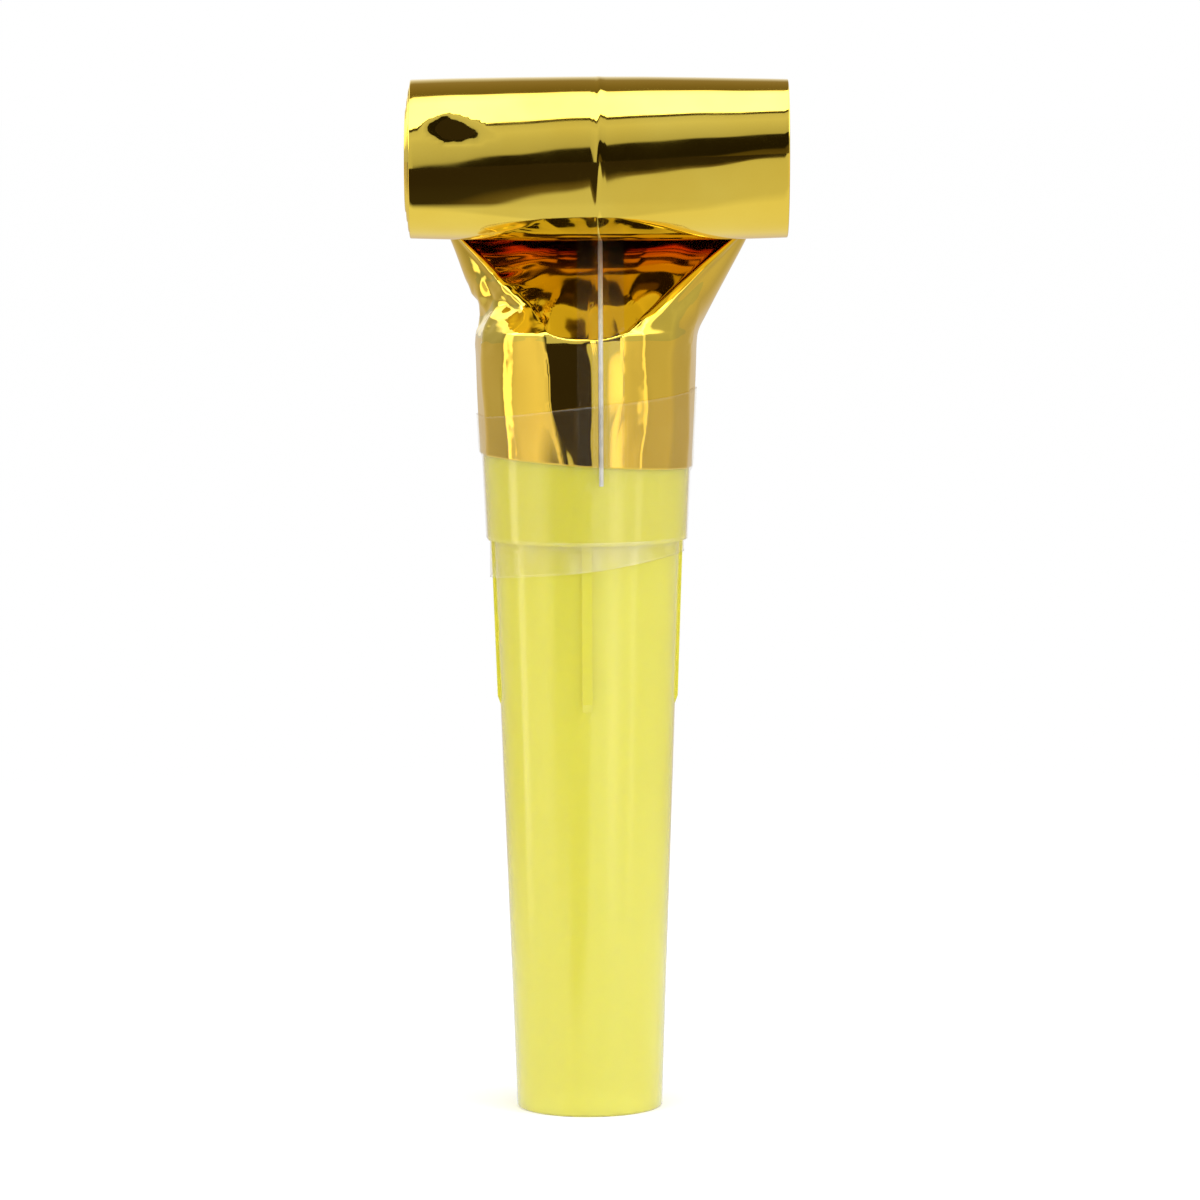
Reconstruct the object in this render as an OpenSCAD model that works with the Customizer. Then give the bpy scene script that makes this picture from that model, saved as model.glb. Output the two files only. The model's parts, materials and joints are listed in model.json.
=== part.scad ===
// Party horn blower: a tapered plastic mouthpiece with a reed inside, and a rolled
// foil tube that a curl wire keeps wound up. Millimetres, +Z up, the front faces -Y.
// The origin is the centre of the mouth end, which the object stands on.
// The foil tube is one flat tube. From the neck on it is drawn as short arc stretches,
// each hinged to the one before, so that it can unroll into a straight strip.

/* [Mouthpiece] */
// Height of the mouthpiece
mouthpiece_h = 100.3; // [90:0.1:115]
// Outer diameter at the mouth end
mouth_d = 18.9; // [16:0.1:21]
// Height at which the collar begins
collar_z = 74.2; // [68:0.1:80]
// Outer diameter of the taper just below the collar
taper_top_d = 24.1; // [22.5:0.1:25]
// Outer diameter of the collar at its ledge
collar_low_d = 25.7; // [25.2:0.1:27]
// Outer diameter of the collar at its open top
collar_top_d = 28; // [27:0.1:30]
// Wall thickness
wall_t = 1.2; // [0.9:0.1:1.5]
// Rounding of the mouth end and the collar's top
lip_r = 0.35; // [0.2:0.05:0.4]
// Number of outer ribs
rib_count = 4; // [2:1:6]
// Width of a rib
rib_w = 1.3; // [0.8:0.1:2]
// How far a rib stands proud of the taper
rib_proud = 0.33; // [0.2:0.01:0.4]
// Length of a rib below the ledge
rib_h = 21.4; // [12:0.1:30]

/* [Reed] */
// Thickness of the reed body's flange
flange_t = 2; // [1.5:0.1:3]
// Radius of the trough
trough_r = 4.2; // [3.5:0.1:5]
// Wall thickness of the trough
trough_wall = 1.4; // [1:0.1:1.8]
// Length of the trough below the flange
trough_h = 22; // [18:0.5:28]
// Height of the reed collar
reed_collar_h = 4.2; // [3.5:0.1:5]
// Wall of the reed collar
reed_collar_wall = 1.3; // [1:0.1:2]
// Width of the tongue
tongue_w = 7; // [5:0.1:7.4]
// Thickness of the tongue
tongue_t = 0.25; // [0.15:0.05:0.4]
// Angle at which the tongue stands open
tongue_open = 2.5; // [1:0.1:3]
// Room for the tongue on each side in its slot
tongue_room = 0.18; // [0.15:0.01:0.3]
// Fit of the flange in the collar
flange_fit = 0.15; // [0.1:0.01:0.3]

/* [Foil tube] */
// Width of the tube when it lies flat
strip_w = 48.2; // [40:0.5:60]
// Thickness of the film
film_t = 0.1; // [0.08:0.01:0.15]
// Space between the two films where the tube is flat
film_gap = 0.1; // [0.06:0.01:0.2]
// Width of the lap seam
seam_w = 1.6; // [1:0.1:4]
// How far the lap seam stands proud
seam_t = 0.04; // [0.02:0.01:0.05]

/* [Roll] */
// Outer diameter of the roll
roll_d = 22.2; // [20:0.1:25]
// Number of turns
turns = 4; // [3:0.25:4.5]
// How much a turn is smaller in radius than the one outside it
turn_pitch = 1.25; // [1.2:0.01:1.4]
// Number of stretches that the roll is drawn with
link_count = 25; // [20:1:25]
// Gap between one stretch and the next
link_gap = 0.1; // [0.06:0.01:0.15]
// Sideways shift of the roll from the mouthpiece's axis
roll_shift = 1.9; // [0:0.1:3]
// How far each turn creeps to the left of the one outside it
turn_creep = 0.2; // [0:0.05:0.4]
// How far the flat tube stands behind the mouthpiece's axis
strip_y = 5.2; // [4:0.1:5.5]

/* [Neck] */
// How far the roll's underside stays above the neck's start
roll_lift = 10.6; // [10:0.1:14]
// Gap between the collar and the film round it
sleeve_gap = 0.06; // [0.05:0.01:0.1]
// How far the film reaches down over the collar
sleeve_h = 15.9; // [12:0.1:18]
// How much higher the film's lower edge is on the left than on the right
sleeve_skew = 2; // [0:0.1:3]
// Height between the collar's top and the start of the neck
rim_gap = 0.8; // [0.6:0.05:1.5]
// Room between the roll and the front film that rises behind it
ramp_gap = 1.5; // [1:0.05:1.8]
// How deep the pinched pocket on the left is
pocket_depth = 1.6; // [0:0.1:2]

/* [Wire and tapes] */
// Diameter of the curl wire
wire_d = 0.6; // [0.4:0.05:0.6]
// Gap between the wire and the film
wire_gap = 0.05; // [0.03:0.01:0.08]
// Width of the clear tape over the wire
wire_tape_w = 6; // [4:0.5:8]
// Width of the clear tape round the joint
joint_tape_w = 21; // [18:0.5:24]
// Thickness of the tapes
tape_t = 0.08; // [0.06:0.01:0.1]
// How much higher the joint tape stands on the right than on the left
joint_tape_skew = 3.2; // [0:0.1:4]
// How far the middle of the joint tape lies below the film's lower edge, as a share of its width
tape_below_share = 0.14; // [0.05:0.01:0.2]
// Angle over which the joint tape's ends overlap
tape_overlap = 24; // [10:1:60]
// Length of the folded seal on the roll's inner end
tip_fold = 4; // [2:0.5:5]

/* [Hidden] */
function numbered(word, i) = str(word, i < 9 ? "_0" : "_", i + 1);
LINK_NODES = [for (i = [0 : link_count - 1]) numbered("foil", i)];
WIRE_NODES = [for (i = [0 : link_count - 1]) numbered("wire", i)];
PIECE_NODES = [
    "mouthpiece", "reed_body", "reed_tongue", "reed_collar",
    "foil_neck", "neck_wire", "wire_tape", "joint_tape", "tip_seal"
];

// Overrun of every cut
over = 1;
// Facets of round shapes, and segments of a lip's quarter round
$fn = 96;
lip_steps = 6;

// Mouthpiece radii
mouth_r = mouth_d / 2;
taper_top_r = taper_top_d / 2;
collar_low_r = collar_low_d / 2;
collar_top_r = collar_top_d / 2;
taper_rise = (taper_top_r - mouth_r) / collar_z;
function taper_r(z) = mouth_r + taper_rise * z;
collar_rise = (collar_top_r - collar_low_r) / (mouthpiece_h - collar_z);
function collar_r(z) = collar_low_r + collar_rise * (z - collar_z);

// The shoulder inside lies one wall thickness from the ledge outside, so that the wall keeps its
// thickness where the taper widens, or narrows, into the collar
shoulder_z = collar_z + (collar_low_r > taper_top_r ? wall_t : -wall_t);
collar_bore_r = collar_r(shoulder_z) - wall_t;

// Reed: it hangs from the shoulder, with the trough towards the mouth
flange_r = min(collar_bore_r, collar_r(shoulder_z + flange_t) - wall_t) - flange_fit;
channel_r = trough_r - trough_wall;
trough_low_z = shoulder_z - trough_h;
reed_collar_fit = 0.2 * tongue_room;
slot_t = tongue_t + 2 * tongue_room;
tongue_y = -slot_t / 2;
tongue_pivot_z = shoulder_z - reed_collar_h / 2;
tongue_top = reed_collar_h / 2 - tongue_room;
tongue_reach = trough_h - reed_collar_h / 2 - trough_wall / 2;

// Foil tube
strip_t = 2 * film_t + film_gap;
half_w = strip_w / 2;
roll_r = roll_d / 2;
neck_z = mouthpiece_h + rim_gap;
strip_z = neck_z + roll_r + roll_lift;
total_turn = 360 * turns;
// Outer stretches turn less than inner ones, so that all bow alike once unrolled
turn_growth_share = 0.13;
function turned(i) = let (u = i / link_count)
    total_turn * u * (1 - turn_growth_share + turn_growth_share * u);
function link_turn(i) = turned(i + 1) - turned(i);
function link_r(i) = roll_r - turn_pitch * (turned(i) + turned(i + 1)) / 2 / 360;
function around(a) = [cos(a), sin(a)];
// Centre of a stretch's arc: each arc leaves the last one in its own direction
function link_centre(i) = i == 0
    ? [strip_y - link_r(0), strip_z]
    : link_centre(i - 1) + (link_r(i - 1) - link_r(i)) * around(turned(i));
function hinge_at(i) = link_centre(i) + link_r(i) * around(turned(i));
function link_x(i) = roll_shift - turn_creep * turned(i) / 360;
function link_length(i) = link_r(i) * link_turn(i) * PI / 180;
function length_before(i) = i == 0 ? 0 : length_before(i - 1) + link_length(i - 1);
// How far a hinge turns until the stretches lie in one line
function unroll_turn(i) = i == 0
    ? link_turn(0) / 2
    : (link_turn(i - 1) + link_turn(i)) / 2;
last_link = link_count - 1;

// Curl wire, on the inner side of the roll
wire_r = wire_d / 2;
wire_lift = wire_gap + wire_r;
wire_depth = strip_t + wire_lift;

// Front film of the neck: a flat ramp from the collar's top that ends in an arc behind the roll
sleeve_r0 = collar_top_r + sleeve_gap + film_t;
ramp_r = roll_r + ramp_gap;
ramp_c = [strip_y - strip_t - ramp_r, strip_z];
ramp_foot = [-sleeve_r0, mouthpiece_h + sleeve_gap];
foot_to_c = ramp_foot - ramp_c;
ramp_end_a = atan2(foot_to_c[1], foot_to_c[0]) + acos(ramp_r / norm(foot_to_c));
ramp_end = ramp_c + ramp_r * around(ramp_end_a);
ramp_slope = (ramp_end[0] - ramp_foot[0]) / (ramp_end[1] - ramp_foot[1]);
function ramp_y(z) = z < ramp_foot[1]
    ? -sleeve_r(z)
    : z < ramp_end[1]
    ? ramp_foot[0] + ramp_slope * (z - ramp_foot[1])
    : ramp_c[0] + sqrt(max(0, ramp_r * ramp_r - pow(z - ramp_c[1], 2)));

// The rest of the neck: sides that widen from the collar's round to the strip's edges
side_ease = 1.1;
depth_ease = 0.8;
back_ease = 1.8;
flat_depth_share = 0.08;
pocket_reach_share = 0.28;
ridge_least = 20;
ridge_most = 88;
front_steps = 10;
back_steps = 8;
side_steps = 18;
sleeve_rings = 3;
neck_rings = 13;
function rise(z) = max(0, min(1, (z - neck_z) / (strip_z - neck_z)));
function mix(a, b, u) = a + (b - a) * u;
function sleeve_r(z) = collar_r(min(z, mouthpiece_h)) + sleeve_gap + film_t;
function side_half(z) = mix(sleeve_r(z), half_w, pow(rise(z), side_ease));
function side_x(z) = roll_shift * (1 - pow(1 - rise(z), 3));
function side_y(z) = (strip_y - strip_t / 2) * (1 - pow(1 - rise(z), back_ease));
function side_depth(z) = mix(flat_depth_share * half_w, sleeve_r(z), pow(1 - rise(z), depth_ease));
function back_y(z) = mix(strip_y, sleeve_r(z), pow(1 - rise(z), back_ease));
function pocket(z) = pocket_depth * pow(sin(180 * min(1, rise(z) / pocket_reach_share)), 2);
function held(a, low, high) = max(low, min(high, a));
function ridge_a(reach, depth) = held(acos(held(reach / depth, -1, 1)), ridge_least, ridge_most);

// One ring of the neck, from the left ridge over the front, the right side and the back
function ring_point(a, z, inset, flat_front, flat_back) =
    let (left = sin(a) < 0 ? pocket(z) : 0)
    let (x = side_x(z) + (side_half(z) - inset - left) * sin(a))
    let (depth = side_depth(z) - inset)
    let (y = side_y(z) - depth * cos(a))
    [x, min(max(y, flat_front), flat_back), z];
function ring(z, inset) =
    let (flat_front = ramp_y(z) + inset)
    let (flat_back = back_y(z) - inset)
    let (depth = side_depth(z) - inset)
    let (fa = ridge_a(side_y(z) - flat_front, depth))
    let (ba = ridge_a(flat_back - side_y(z), depth))
    [for (i = [0 : ring_count - 1])
        let (j = i - front_steps)
        let (k = j - side_steps)
        let (m = k - back_steps)
        let (a = i <= front_steps ? mix(-fa, fa, i / front_steps)
            : j <= side_steps ? mix(fa, 180 - ba, j / side_steps)
            : k <= back_steps ? mix(180 - ba, 180 + ba, k / back_steps)
            : mix(180 + ba, 360 - fa, m / side_steps))
        ring_point(a, z, inset, flat_front, flat_back)];
ring_count = front_steps + back_steps + 2 * side_steps;
sleeve_low_z = mouthpiece_h - sleeve_h;
// The sleeve's rings lean, so that the film's lower edge runs aslant
function leaned(points, share) = [for (p = points)
    let (z = p[2] - share * sleeve_skew * p[0] / sleeve_r0 / 2)
    let (wider = sleeve_r(z) / sleeve_r(p[2]))
    [p[0] * wider, p[1] * wider, z]];
function ring_z(n) = n < sleeve_rings
    ? mix(sleeve_low_z, ramp_foot[1], n / sleeve_rings)
    : mix(ramp_foot[1], strip_z, (n - sleeve_rings) / neck_rings);
function neck_ring(n, inset) = leaned(ring(ring_z(n), inset), max(0, 1 - n / sleeve_rings));
function neck_rows(inset) = [for (n = [0 : sleeve_rings + neck_rings]) neck_ring(n, inset)];

// Faces of a closed skin of rows, each row a closed ring with as many points
function tube_faces(rows, count) = [
    for (r = [0 : rows - 2], i = [0 : count - 1])
        let (a = r * count + i, b = r * count + (i + 1) % count)
        each [[a, b + count, b], [a, a + count, b + count]]];
// Faces of a hollow film: an outer skin, an inner skin, and a rim at each end
function film_faces(rows, count) =
    let (inner = rows * count, top = (rows - 1) * count)
    concat(
        tube_faces(rows, count),
        [for (f = tube_faces(rows, count)) [f[0] + inner, f[2] + inner, f[1] + inner]],
        [for (i = [0 : count - 1])
            let (j = (i + 1) % count)
            each [
                [i, j, i + inner], [j, j + inner, i + inner],
                [top + i, top + i + inner, top + j], [top + j, top + i + inner, top + j + inner]
            ]]);
// Faces of a solid tube with flat ends, closed by pairing the first half of a row with the second
function end_faces(count) = [for (i = [0 : count / 2 - 2])
    let (j = count - 1 - i)
    each [[i, i + 1, j - 1], [i, j - 1, j]]];
function rod_faces(rows, count) =
    let (top = (rows - 1) * count)
    concat(
        tube_faces(rows, count),
        end_faces(count),
        [for (f = end_faces(count)) [top + f[0], top + f[2], top + f[1]]]);

// Front of the neck's film at one place
function film_y(x, z) =
    let (across = (x - side_x(z)) / side_half(z))
    max(ramp_y(z), side_y(z) - side_depth(z) * sqrt(1 - across * across));

// Route up the front of the film at one x, seen from the side, and the same route lifted off it
wire_x = roll_shift;
wire_past_edge = 2.4;
wire_low_z = sleeve_low_z - wire_past_edge;
function route(x, low_z, last) = concat(
    [[film_y(x, low_z), low_z]],
    [for (n = [sleeve_rings : last]) let (z = min(ring_z(n), strip_z - link_gap / 2)) [film_y(x, z), z]]);
function step_at(p, i) = let (d = p[held(i, 0, len(p) - 2) + 1] - p[held(i, 0, len(p) - 2)]) d / norm(d);
function outward(p, i) =
    let (before = step_at(p, i - 1), after = step_at(p, i))
    [-before[1] - after[1], before[0] + after[0]] / (1 + before * after);
function lifted(p, lift) = [for (i = [0 : len(p) - 1]) p[i] + lift * outward(p, i)];
// How far the wire's tape stands off the film beside the wire and over it
beside_lift = 5 * wire_gap;
over_lift = wire_d + 2 * wire_gap;

// Joint tape: its rows run level round the collar, but the edges lean with the tape
tape_gap = sleeve_gap;
tape_mid_z = sleeve_low_z - tape_below_share * joint_tape_w;
tape_low_z = tape_mid_z - joint_tape_w / 2;
tape_high_z = tape_mid_z + joint_tape_w / 2;
tape_step_z = wire_low_z - wire_gap;
tape_step_h = 2 * strip_t;
tape_run_in_z = tape_step_z - tape_step_h;
tape_first_z = min(collar_z, tape_run_in_z);
tape_last_z = max(collar_z, tape_step_z);
tape_rows_z = [
    tape_low_z,
    tape_first_z,
    collar_z + tape_run_in_z + tape_step_z - tape_first_z - tape_last_z,
    tape_last_z,
    tape_high_z
];
tape_rows_lean_shares = [1, 0, 0, 0, 1];
// Stations round the tape: close together where it climbs over the wire and its tape
wire_a = asin(wire_x / sleeve_r0);
wire_tape_a = asin((wire_tape_w / 2 + wire_d) / sleeve_r0);
over_wire_share = 1.1;
off_wire_share = 3;
over_wire_a = asin(over_wire_share * wire_d / sleeve_r0);
off_wire_a = asin(off_wire_share * wire_d / sleeve_r0);
tape_steps = 48;
tape_angles = concat(
    [for (a = [-wire_tape_a, -off_wire_a, -over_wire_a, over_wire_a, off_wire_a, wire_tape_a]) wire_a + a],
    [for (i = [0 : tape_steps]) mix(wire_a + wire_tape_a + 1, wire_a + 359 - wire_tape_a, i / tape_steps)]);
function beside_wire(a) = abs(a - wire_a);
function wire_hump(a) = beside_wire(a) < (over_wire_a + off_wire_a) / 2
    ? over_lift + tape_t
    : beside_wire(a) < wire_tape_a + over_wire_a / 2 ? beside_lift + tape_t : 0;
function tape_carrier_r(z) = max(
    z > collar_z ? 0 : taper_top_r + rib_proud,
    z < collar_z ? 0 : collar_r(z),
    z < tape_step_z ? 0 : sleeve_r(z));
function joint_tape_ring(n, extra) = [for (a = tape_angles)
    let (level = tape_rows_z[n])
    let (lean = tape_rows_lean_shares[n] * joint_tape_skew * sin(a) / 2)
    let (z = level + lean)
    let (doubled = extra > 0 && abs(a - 180) < tape_overlap / 2 ? tape_t : 0)
    let (over_wire = level < tape_step_z ? 0 : wire_hump(a))
    let (edge = n == 0 || n == len(tape_rows_z) - 1)
    let (r = tape_carrier_r(edge ? z : level) + tape_gap + over_wire + extra + doubled)
    [r * sin(a), -r * cos(a), z]];

// Least gap between the roll's turns, measured on points of the stretches
sample_count = 9;
function link_point(i, n, depth) =
    link_centre(i) + (link_r(i) - depth) * around(turned(i) + link_turn(i) * n / sample_count);
outer_points = [for (i = [0 : last_link], n = [0 : sample_count]) link_point(i, n, -seam_t)];
inner_points = [for (i = [0 : last_link], n = [0 : sample_count]) link_point(i, n, strip_t)];
per_turn = floor(len(outer_points) / turns / 2);
least_gap = min([
    for (i = [0 : len(inner_points) - 1], j = [i + per_turn : 1 : len(outer_points) - 1])
        norm(inner_points[i] - outer_points[j])]);
echo(least_gap_between_turns = least_gap);
echo(hinges = [for (i = [0 : last_link]) concat(hinge_at(i), unroll_turn(i))]);
echo(unrolled_length = strip_z - neck_z + length_before(link_count));
echo(tongue_pivot = [0, tongue_y, tongue_pivot_z]);

// Turns a profile about X: its first axis becomes +Y and turns towards +Z
module arc_about_x(turn) {
    rotate([90, 0, 90])
        rotate_extrude(angle = turn)
            children();
}

// Half round of a lip, from one side of a wall to the other
function lip(r_out, r_in, z, up) = [
    for (i = [0 : lip_steps])
        let (a = 90 * i / lip_steps)
        [r_out - lip_r + lip_r * cos(a), z - up * lip_r * (1 - sin(a))],
    for (i = [0 : lip_steps])
        let (a = 90 - 90 * i / lip_steps)
        [r_in + lip_r - lip_r * cos(a), z - up * lip_r * (1 - sin(a))]
];

module mouthpiece_wall() {
    taper_bore_r = taper_r(min(shoulder_z, collar_z)) - wall_t;
    rotate_extrude()
        polygon(concat(
            [[taper_top_r, collar_z], [collar_low_r, collar_z]],
            lip(collar_top_r, collar_top_r - wall_t, mouthpiece_h, 1),
            [[collar_bore_r, shoulder_z], [taper_bore_r, shoulder_z]],
            shoulder_z > collar_z ? [[taper_bore_r, collar_z]] : [],
            [for (p = lip(mouth_r, mouth_r - wall_t, 0, -1)) [2 * mouth_r - wall_t - p[0], p[1]]]
        ));
}

module mouthpiece_rib() {
    low_z = collar_z - rib_h;
    run_in = rib_proud * 3;
    rotate([90, 0, 0])
        translate([0, 0, -rib_w / 2])
            linear_extrude(rib_w)
                polygon([
                    [taper_r(low_z) - wall_t / 2, low_z],
                    [taper_r(low_z), low_z],
                    [taper_r(low_z + run_in) + rib_proud, low_z + run_in],
                    [taper_top_r + rib_proud, collar_z],
                    [taper_top_r - wall_t / 2, collar_z]
                ]);
}

module mouthpiece() {
    color("khaki")
        union() {
            mouthpiece_wall();
            for (i = [0 : rib_count - 1])
                rotate([0, 0, 90 + 360 * i / rib_count])
                    mouthpiece_rib();
        }
}

module reed_body() {
    color("ivory")
        difference() {
            union() {
                translate([0, 0, shoulder_z])
                    cylinder(r = flange_r, h = flange_t);
                translate([0, 0, trough_low_z + trough_r])
                    cylinder(r = trough_r, h = trough_h - trough_r);
                translate([0, 0, trough_low_z + trough_r])
                    sphere(r = trough_r);
            }
            translate([-trough_r - over, -trough_r - over, trough_low_z - over])
                cube([2 * (trough_r + over), trough_r + over, trough_h + over]);
            intersection() {
                union() {
                    translate([0, 0, trough_low_z + trough_r])
                        cylinder(r = channel_r, h = trough_h + flange_t);
                    translate([0, 0, trough_low_z + trough_r])
                        sphere(r = channel_r);
                }
                translate([-trough_r, -over, trough_low_z])
                    cube([2 * trough_r, trough_r + over, trough_h + flange_t + over]);
            }
        }
}

module reed_collar() {
    hole_r = trough_r + reed_collar_fit;
    color("ivory")
        translate([0, 0, shoulder_z - reed_collar_h])
            difference() {
                cylinder(r = hole_r + reed_collar_wall, h = reed_collar_h);
                translate([0, 0, -over])
                    intersection() {
                        cylinder(r = hole_r, h = reed_collar_h + 2 * over);
                        translate([-hole_r, -slot_t, 0])
                            cube([2 * hole_r, slot_t + hole_r, reed_collar_h + 2 * over]);
                    }
            }
}

module reed_tongue() {
    color("whitesmoke")
        translate([0, tongue_y, tongue_pivot_z])
            rotate([-tongue_open, 0, 0])
                rotate([90, 0, 0])
                    translate([0, 0, -tongue_t / 2])
                        linear_extrude(tongue_t) {
                            translate([-tongue_w / 2, tongue_w / 2 - tongue_reach])
                                square([tongue_w, tongue_reach + tongue_top - tongue_w / 2]);
                            translate([0, tongue_w / 2 - tongue_reach])
                                circle(r = tongue_w / 2);
                        }
}

// Cross section of the flat tube: two films, closed at both edges, with a lap seam
module tube_profile(r) {
    difference() {
        union() {
            translate([r - strip_t, -half_w])
                square([strip_t, strip_w]);
            translate([r - film_t, -seam_w / 2])
                square([film_t + seam_t, seam_w]);
        }
        translate([r - strip_t + film_t, film_t - half_w])
            square([film_gap, strip_w - 2 * film_t]);
    }
}

// Places children along a stretch of the roll, between two lengths measured on its outer face
module on_link(i, from, to) {
    per_length = 180 / (PI * link_r(i));
    translate([link_x(i), link_centre(i)[0], link_centre(i)[1]])
        rotate([turned(i) + from * per_length, 0, 0])
            arc_about_x((to - from) * per_length)
                children();
}

module foil_link(i) {
    color("goldenrod")
        on_link(i, link_gap / 2, link_length(i) - link_gap / 2)
            tube_profile(link_r(i));
}

module wire_link(i) {
    end_room = i == last_link ? tip_fold + link_gap : link_gap / 2;
    color("silver")
        on_link(i, link_gap / 2, link_length(i) - end_room)
            translate([link_r(i) - wire_depth, 0])
                circle(r = wire_r);
}

// The tube's end is closed and folded over onto its inner side
module tip_seal() {
    end = link_length(last_link);
    end_r = link_r(last_link);
    depth = strip_t + wire_gap + film_t;
    color("darkgoldenrod")
        difference() {
            on_link(last_link, end - tip_fold, end + film_t)
                translate([end_r - depth, -half_w])
                    square([depth, strip_w]);
            on_link(last_link, end - tip_fold - over, end)
                translate([end_r - depth + film_t, -half_w - over])
                    square([depth + over, strip_w + 2 * over]);
        }
}

module foil_neck() {
    rows = sleeve_rings + neck_rings + 1;
    color("goldenrod")
        polyhedron(
            points = [for (row = neck_rows(0)) each row, for (row = neck_rows(film_t)) each row],
            faces = film_faces(rows, ring_count));
}

module neck_wire() {
    film = route(wire_x, wire_low_z, sleeve_rings + neck_rings);
    path = lifted(film, wire_lift);
    sides = 8;
    color("silver")
        polyhedron(
            points = [for (i = [0 : len(path) - 1], n = [0 : sides - 1])
                let (a = 360 * n / sides)
                concat(wire_x + wire_r * sin(a), path[i] + wire_r * cos(a) * outward(path, i))],
            faces = rod_faces(len(path), sides));
}

module wire_tape() {
    // Places across the tape, as shares of its half width, and where it is lifted over the wire
    across_shares = [-1, -0.35, -0.12, 0.12, 0.35, 1];
    over_wire_shares = [0, 0, 1, 1, 0, 0];
    count = len(across_shares);
    run_share = 0.62;
    last = sleeve_rings + round(run_share * neck_rings);
    // Lines of points along the tape, on its outer face and on its inner face
    function tape_line(n, extra) =
        let (x = wire_x + across_shares[n] * wire_tape_w / 2)
        let (lift = mix(beside_lift, over_lift, over_wire_shares[n]))
        [for (p = lifted(route(x, sleeve_low_z, last), lift + extra)) concat(x, p)];
    lines = concat(
        [for (n = [0 : count - 1]) tape_line(n, tape_t)],
        [for (n = [count - 1 : -1 : 0]) tape_line(n, 0)]);
    rows = len(lines[0]);
    color([0.9, 0.9, 0.85, 0.4])
        polyhedron(
            points = [for (i = [0 : rows - 1], n = [0 : 2 * count - 1]) lines[n][i]],
            faces = rod_faces(rows, 2 * count));
}

module joint_tape() {
    rows = len(tape_rows_z);
    count = len(tape_angles);
    color([0.9, 0.9, 0.85, 0.4])
        polyhedron(
            points = [
                for (n = [0 : rows - 1]) each joint_tape_ring(n, tape_t),
                for (n = [0 : rows - 1]) each joint_tape_ring(n, 0)],
            faces = film_faces(rows, count));
}

mouthpiece();
reed_body();
reed_tongue();
reed_collar();
foil_neck();
neck_wire();
wire_tape();
joint_tape();
tip_seal();
for (i = [0 : last_link]) {
    foil_link(i);
    wire_link(i);
}
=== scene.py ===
import json
import math

import bpy
import numpy as np
from mathutils import Matrix


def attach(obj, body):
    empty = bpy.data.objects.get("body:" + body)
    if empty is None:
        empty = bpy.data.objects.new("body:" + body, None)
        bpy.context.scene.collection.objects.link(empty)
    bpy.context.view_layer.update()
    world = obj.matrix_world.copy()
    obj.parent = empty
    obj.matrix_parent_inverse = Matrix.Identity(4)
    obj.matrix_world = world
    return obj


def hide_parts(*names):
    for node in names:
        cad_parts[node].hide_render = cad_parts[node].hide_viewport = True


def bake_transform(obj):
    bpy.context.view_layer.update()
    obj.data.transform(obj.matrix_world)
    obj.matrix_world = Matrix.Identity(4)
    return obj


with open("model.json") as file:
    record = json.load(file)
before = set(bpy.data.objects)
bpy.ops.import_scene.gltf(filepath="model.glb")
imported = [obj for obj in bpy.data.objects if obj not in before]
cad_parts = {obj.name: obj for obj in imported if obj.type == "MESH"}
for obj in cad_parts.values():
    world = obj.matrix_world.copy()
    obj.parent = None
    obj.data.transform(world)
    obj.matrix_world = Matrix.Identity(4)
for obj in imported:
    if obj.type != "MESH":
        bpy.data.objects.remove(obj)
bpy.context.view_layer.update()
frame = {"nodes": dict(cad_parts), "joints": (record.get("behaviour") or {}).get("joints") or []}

# Shapes are built in the source's millimetres and scaled to metres when a mesh is made
MM = 0.001

# Foil tube, as in the source
ROLL_R = 11.1
TURNS = 4
TURN_PITCH = 1.25
TURN_GROWTH = 0.13
TURN_CREEP = 0.2
ROLL_SHIFT = 1.9
STRIP_Y = 5.2
HALF_W = 24.1
FILM_T = 0.1
STRIP_T = 0.3

# Mouthpiece, as in the source
MOUTHPIECE_H = 100.3
COLLAR_Z = 74.2
COLLAR_LOW_R = 12.85
COLLAR_TOP_R = 14.0
TAPER_TOP_R = 12.05

# Neck, as in the source
SLEEVE_GAP = 0.06
SLEEVE_H = 15.9
SLEEVE_SKEW = 2.0
RIM_GAP = 0.8
ROLL_LIFT = 10.6
RAMP_GAP = 1.5
POCKET_DEPTH = 1.6
SIDE_EASE = 1.1
DEPTH_EASE = 0.8
BACK_EASE = 1.8
FLAT_DEPTH_SHARE = 0.08
POCKET_REACH_SHARE = 0.28
RIDGE_LEAST = math.radians(20)
RIDGE_MOST = math.radians(88)

NECK_Z = MOUTHPIECE_H + RIM_GAP
STRIP_Z = NECK_Z + ROLL_R + ROLL_LIFT
SLEEVE_LOW_Z = MOUTHPIECE_H - SLEEVE_H
SLEEVE_R0 = COLLAR_TOP_R + SLEEVE_GAP + FILM_T

# Each hinge of the roll carries one stretch of film and wire
LINKS = sum(joint["name"].startswith("unroll") for joint in frame["joints"])


def smooth(x, low, high):
    """0 below low, 1 above high, with an even run between them."""
    t = np.clip((x - low) / (high - low), 0, 1)
    return t * t * (3 - 2 * t)


def bump(x, width):
    """A rounded bump of height 1 round x = 0."""
    return np.exp(-((x / width) ** 2))


def mix(a, b, u):
    return a + (b - a) * u


# ---------------------------------------------------------------- meshes


def mesh_object(name, points, faces, material, normals=None):
    mesh = bpy.data.meshes.new(name)
    mesh.from_pydata((np.asarray(points).reshape(-1, 3) * MM).tolist(), [], faces)
    mesh.validate()
    mesh.shade_smooth()
    if normals is not None:
        mesh.normals_split_custom_set_from_vertices(np.asarray(normals).reshape(-1, 3).tolist())
    obj = bpy.data.objects.new(name, mesh)
    bpy.context.scene.collection.objects.link(obj)
    mesh.materials.append(material)
    return obj


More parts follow.
